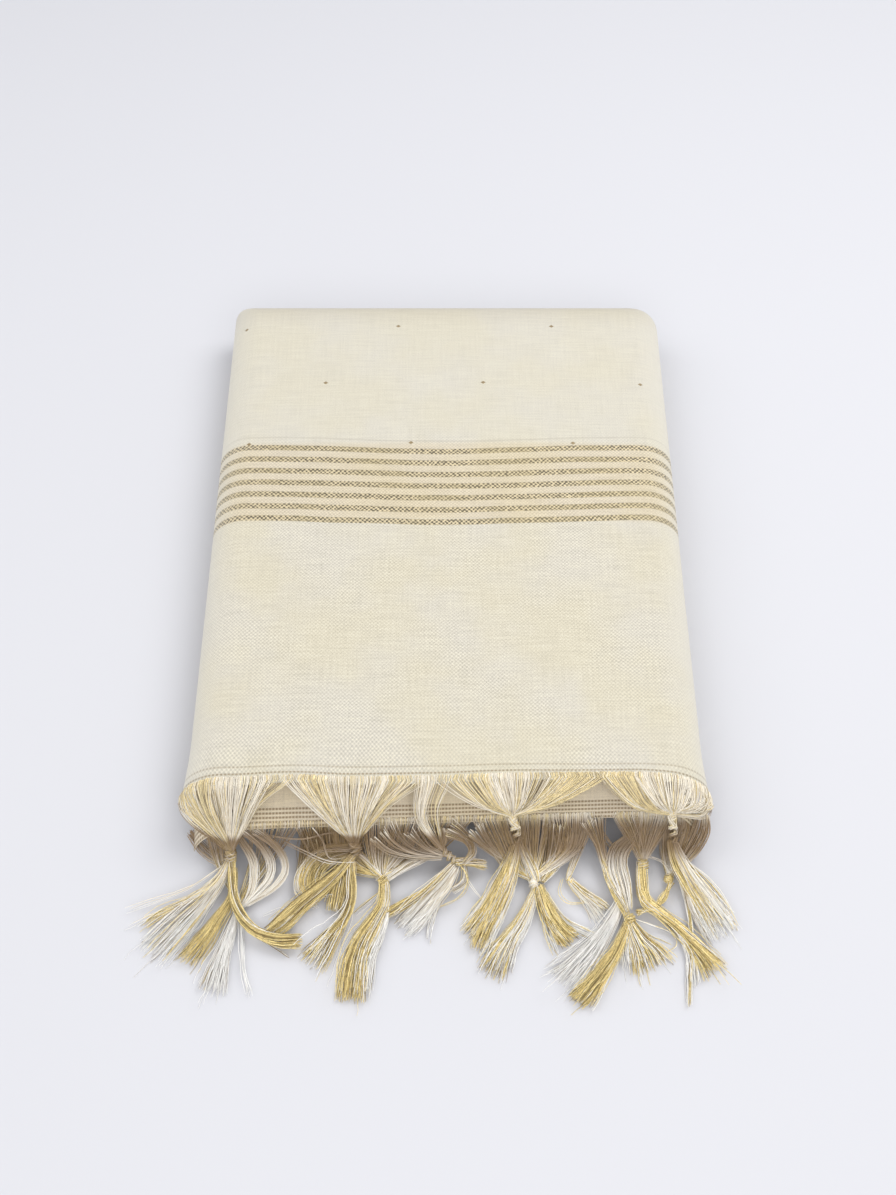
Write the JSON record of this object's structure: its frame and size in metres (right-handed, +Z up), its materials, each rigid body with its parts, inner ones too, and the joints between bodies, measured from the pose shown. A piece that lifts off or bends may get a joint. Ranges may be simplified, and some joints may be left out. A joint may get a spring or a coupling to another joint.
{
  "type": "folded dupatta",
  "caption": "Dupatta folded flat into a soft oblong stack, with the knotted thread fringe of both ends at its near edge.",
  "frame": {"origin": "middle of the flat underside of the folded stack", "axes": "+Y from the fringed near edge to the far fold, +Z up"},
  "size_m": [0.2688, 0.3953, 0.0385],
  "materials": {
    "cloth": "matte woven silk and cotton with a slight sheen",
    "fringe": "glossy silk and metallic zari threads"
  },
  "bodies": {
    "root": {"folded_layers": "cloth", "first_end": "cloth", "second_end": "cloth", "tassel_first_1": "fringe", "tassel_first_2": "fringe", "tassel_first_3": "fringe", "tassel_first_4": "fringe", "tassel_first_5": "fringe", "tassel_second_1": "fringe", "tassel_second_2": "fringe", "tassel_second_3": "fringe", "tassel_second_4": "fringe", "tassel_second_5": "fringe", "tassel_second_6": "fringe", "tassel_second_7": "fringe"}
  },
  "joints": []
}
